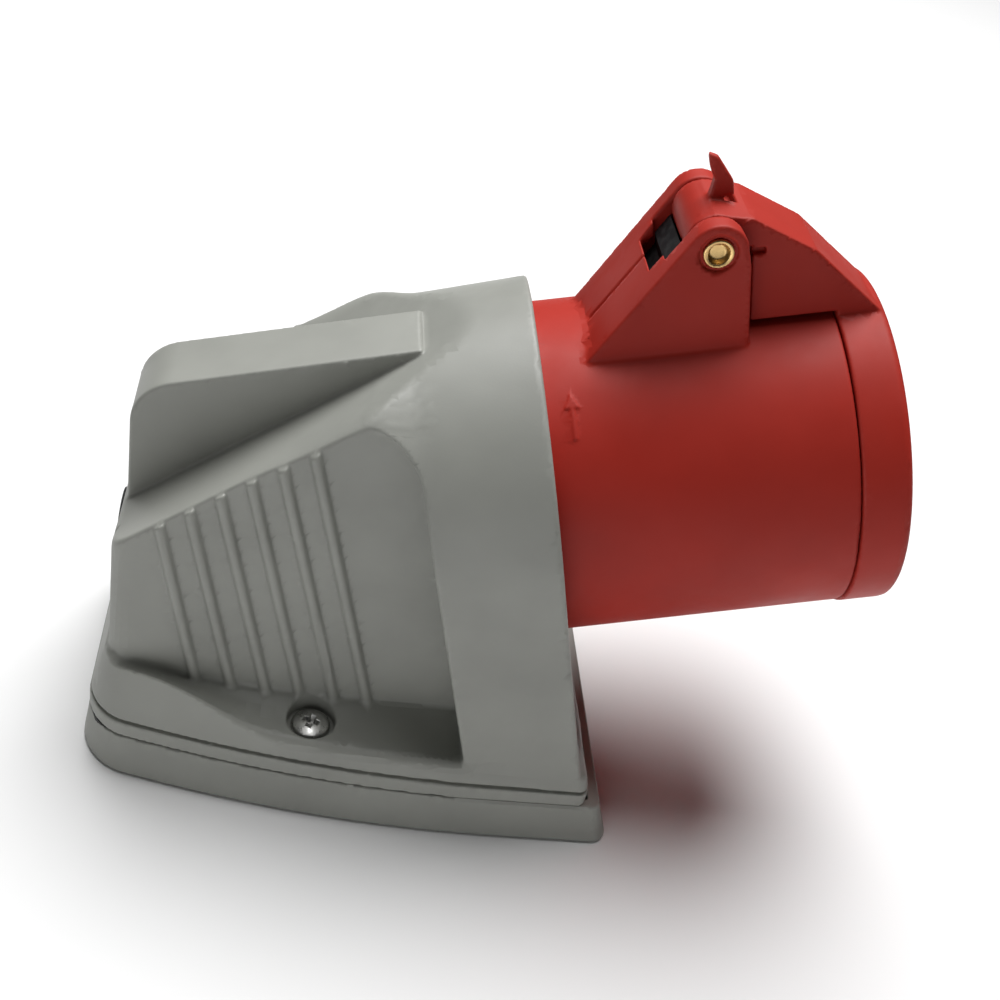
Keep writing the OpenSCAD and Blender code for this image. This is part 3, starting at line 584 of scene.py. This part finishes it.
class Shader:
    """Node tree of one material, built up a node at a time."""

    def __init__(self, name, rough, metal=0.0, specular=0.5):
        self.material = bpy.data.materials.new(name)
        self.material.use_nodes = True
        self.tree = self.material.node_tree
        self.tree.nodes.clear()
        self.out = self.add("ShaderNodeOutputMaterial")
        self.bsdf = self.add("ShaderNodeBsdfPrincipled")
        self.bsdf.inputs["Roughness"].default_value = rough
        self.bsdf.inputs["Metallic"].default_value = metal
        self.bsdf.inputs["Specular IOR Level"].default_value = specular
        self.link(self.bsdf.outputs[0], self.out.inputs["Surface"])
        self.place = self.add("ShaderNodeTexCoord").outputs["Object"]

    def add(self, kind, **values):
        node = self.tree.nodes.new(kind)
        for key, value in values.items():
            setattr(node, key, value)
        return node

    def link(self, a, b):
        self.tree.links.new(a, b)

    def noise(self, per_m, detail=3.0, rough=0.5, stretch=None):
        """Noise in metres: per_m waves to the metre."""
        node = self.add("ShaderNodeTexNoise")
        node.inputs["Scale"].default_value = per_m
        node.inputs["Detail"].default_value = detail
        node.inputs["Roughness"].default_value = rough
        place = self.place
        if stretch:
            mapping = self.add("ShaderNodeMapping")
            mapping.inputs["Scale"].default_value = stretch
            self.link(place, mapping.inputs[0])
            place = mapping.outputs[0]
        self.link(place, node.inputs["Vector"])
        return node.outputs["Fac"]

    def ramp(self, value, stops):
        """Colours along the value, from (position, colour) stops."""
        node = self.add("ShaderNodeValToRGB")
        ends = node.color_ramp.elements
        while len(ends) < len(stops):
            ends.new(0.5)
        for element, (at, colour) in zip(ends, stops):
            element.position = at
            element.color = (*colour, 1)
        self.link(value, node.inputs["Fac"])
        return node.outputs["Color"]

    def span(self, value, low, high, from_low, from_high):
        """The value's range from_low..from_high stretched to low..high, and clamped."""
        node = self.add("ShaderNodeMapRange")
        node.inputs["From Min"].default_value = from_low
        node.inputs["From Max"].default_value = from_high
        node.inputs["To Min"].default_value = low
        node.inputs["To Max"].default_value = high
        self.link(value, node.inputs["Value"])
        return node.outputs["Result"]

    def over(self, share, under, colour):
        """A plain colour laid over another one where share is high."""
        node = self.add("ShaderNodeMix", data_type="RGBA")
        factor, a, b, result = node.inputs[0], node.inputs[6], node.inputs[7], node.outputs[2]
        self.link(share, factor)
        self.link(under, a)
        b.default_value = (*colour, 1)
        return result

    def bump(self, height, depth_m, before=None):
        """Surface relief depth_m deep, on top of an earlier one."""
        node = self.add("ShaderNodeBump")
        node.inputs["Strength"].default_value = 1.0
        node.inputs["Distance"].default_value = depth_m
        self.link(height, node.inputs["Height"])
        if before is not None:
            self.link(before, node.inputs["Normal"])
        return node.outputs["Normal"]


def moulded(name, base, rough=(0.42, 0.54), edge_gain=1.25, specular=0.5):
    """Moulded plastic: spark-eroded grain, faint flow marks, rubbed edges and painted shade in
    the hollows.
    """
    sh = Shader(name, rough[0], specular=specular)
    dark = tuple(c * 0.90 for c in base)
    pale = tuple(min(c * 1.08, 1) for c in base)
    rubbed = [min(c * edge_gain + 0.03, 1) for c in base]
    painted_hollow_shade = [c * 0.62 for c in base]
    cloud = sh.ramp(sh.noise(28, 4), [(0.32, dark), (0.5, base), (0.7, pale)])

    # Pointiness is above 0.5 on edges and below it in hollows
    point = sh.add("ShaderNodeNewGeometry").outputs["Pointiness"]
    scuffs = sh.span(sh.noise(420, 5, 0.65), 0.0, 1.0, 0.42, 0.62)
    wear = sh.add("ShaderNodeMath", operation="MULTIPLY")
    sh.link(sh.span(point, 0.0, 0.55, 0.515, 0.60), wear.inputs[0])
    sh.link(scuffs, wear.inputs[1])
    colour = sh.over(wear.outputs[0], cloud, rubbed)
    # Painted shade: hollows are darkened to 0.62 of the base colour, which deepens the shadows
    # in creases and recesses
    colour = sh.over(sh.span(point, 0.5, 0.0, 0.42, 0.495), colour, painted_hollow_shade)
    sh.link(colour, sh.bsdf.inputs["Base Color"])

    patch = sh.noise(65, 4, 0.6)
    sh.link(sh.span(patch, rough[0], rough[1], 0.3, 0.7), sh.bsdf.inputs["Roughness"])
    grain_m, flow_m = 0.000012, 0.00009
    fine = sh.bump(sh.noise(1900, 2, 0.55), grain_m)
    flow = sh.bump(sh.noise(55, 2, 0.5, (0.35, 1, 1)), flow_m, fine)
    sh.link(flow, sh.bsdf.inputs["Normal"])
    return sh.material


def metal(name, base, rough):
    """Bare or plated metal with fine scratches and a mottled tone."""
    sh = Shader(name, rough[0], metal=1.0)
    dull = tuple(c * 0.65 for c in base)
    tone = sh.ramp(sh.noise(240, 5, 0.6), [(0.3, dull), (0.62, base)])
    sh.link(tone, sh.bsdf.inputs["Base Color"])
    patch = sh.noise(600, 4, 0.6)
    sh.link(sh.span(patch, rough[0], rough[1], 0.35, 0.65), sh.bsdf.inputs["Roughness"])
    sh.link(sh.bump(sh.noise(2500, 3, 0.6), 0.000012), sh.bsdf.inputs["Normal"])
    return sh.material


def rubber(name, base):
    """Matt rubber, cloudy where it has been handled."""
    sh = Shader(name, 0.6, specular=0.3)
    tone = sh.ramp(sh.noise(90, 4), [(0.35, base), (0.7, tuple(c * 1.6 for c in base))])
    sh.link(tone, sh.bsdf.inputs["Base Color"])
    sh.link(sh.span(sh.noise(160, 3), 0.55, 0.78, 0.3, 0.7), sh.bsdf.inputs["Roughness"])
    sh.link(sh.bump(sh.noise(1500, 2), 0.00002), sh.bsdf.inputs["Normal"])
    return sh.material


LOOKS = {
    "grey_plastic": moulded("grey_plastic_look", (0.30, 0.305, 0.278)),
    "red_plastic": moulded("red_plastic_look", (0.40, 0.027, 0.017), (0.46, 0.60),
                           edge_gain=1.15, specular=0.2),
    "black_plastic": moulded("black_plastic_look", (0.010, 0.010, 0.011), (0.5, 0.65),
                             edge_gain=1.4, specular=0.25),
    "seal_rubber": rubber("seal_rubber_look", (0.018, 0.018, 0.019)),
    "contact_brass": metal("contact_brass_look", (0.80, 0.55, 0.24), (0.24, 0.42)),
    "zinc_steel": metal("zinc_steel_look", (0.66, 0.66, 0.64), (0.25, 0.45)),
}


def dress(obj, look):
    """Give the object this look and no other."""
    obj.data.materials.clear()
    obj.data.materials.append(LOOKS[look])


# ---- Put the pieces on their bodies --------------------------------------------------

PIECES = (
    (make_shell, "housing", "grey_plastic", "housing_shell"),
    (make_tray, "housing", "grey_plastic", "base_plate"),
    (make_sleeve, "inlet", "red_plastic", "inlet_sleeve"),
    (make_lid, "lid", "red_plastic", "lid"),
    (make_rivet, "inlet", "contact_brass", "hinge_pin"),
)


def put(piece, body, slot, node):
    """Ride a finished piece on its body, in place of its CAD node."""
    dress(piece, slot)
    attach(piece, body)
    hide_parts(node)


for make, body, slot, node in PIECES:
    put(make(), body, slot, node)

for name, side in (("cover_screw_near", -1), ("cover_screw_far", 1)):
    put(make_cover_screw(name, side), "housing", "zinc_steel", "cover_screws")

REPLACED = {"cover_screws"} | {node for *_, node in PIECES}


def soften(kept):
    """Small rounded edges on a CAD node."""
    radius, least_angle = 0.15 * MM, math.radians(40)
    edge = kept.modifiers.new("soft_edge", "BEVEL")
    edge.width = radius
    edge.segments = 2
    edge.limit_method = "ANGLE"
    edge.angle_limit = least_angle
    edge.use_clamp_overlap = True


for part in frame["record"]["subparts"]:
    if part["node"] not in REPLACED:
        kept = frame["nodes"][part["node"]]
        dress(kept, part["material_slot"])
        if part["node"] != "lid_spring":      # a round wire has no edges to soften
            soften(kept)

# ---- Floor, light and camera ---------------------------------------------------------

scene = bpy.context.scene
floor_mesh = bpy.data.meshes.new("floor")
REACH = 4      # half the floor's width, in metres
corners = [(-REACH, -REACH, 0), (REACH, -REACH, 0), (REACH, REACH, 0), (-REACH, REACH, 0)]
floor_mesh.from_pydata(corners, [], [(0, 1, 2, 3)])
floor = bpy.data.objects.new("floor", floor_mesh)
scene.collection.objects.link(floor)
floor.location.z = -0.0004      # just under the tray's back
floor_look = Shader("floor_look", 0.7, specular=0.2)
floor_look.bsdf.inputs["Base Color"].default_value = (0.86, 0.86, 0.86, 1)
floor_mesh.materials.append(floor_look.material)

world = bpy.data.worlds.new("studio")
scene.world = world
world.use_nodes = True
sky = world.node_tree.nodes["Background"]
sky.inputs["Color"].default_value = (1, 1, 1, 1)
sky.inputs["Strength"].default_value = 0.04


def softbox(name, at, aim, size, watts):
    """Round area light, in metres and watts."""
    lamp = bpy.data.lights.new(name, "AREA")
    lamp.shape, lamp.size, lamp.energy = "DISK", size, watts
    made = bpy.data.objects.new(name, lamp)
    scene.collection.objects.link(made)
    made.location = at
    made.rotation_euler = (Vector(aim) - Vector(at)).to_track_quat("-Z", "Y").to_euler()


CENTRE = (0.02, 0, 0.08)
softbox("key", (0.13, 0.52, 1.5), CENTRE, 1.35, 39)
softbox("fill", (-0.05, -0.3, 0.03), (0, -0.05, 0.02), 0.25, 0.2)

camera = bpy.data.objects.new("camera", bpy.data.cameras.new("camera"))
scene.collection.objects.link(camera)
camera.location = (-0.03031, -0.28997, 0.30236)
camera.rotation_euler = [math.radians(turn) for turn in (51.75, -11.0, -3.93)]
camera.data.lens, camera.data.sensor_width = 48.03, 36.0
camera.data.clip_start = 0.01
scene.camera = camera
scene.view_settings.view_transform = "Standard"
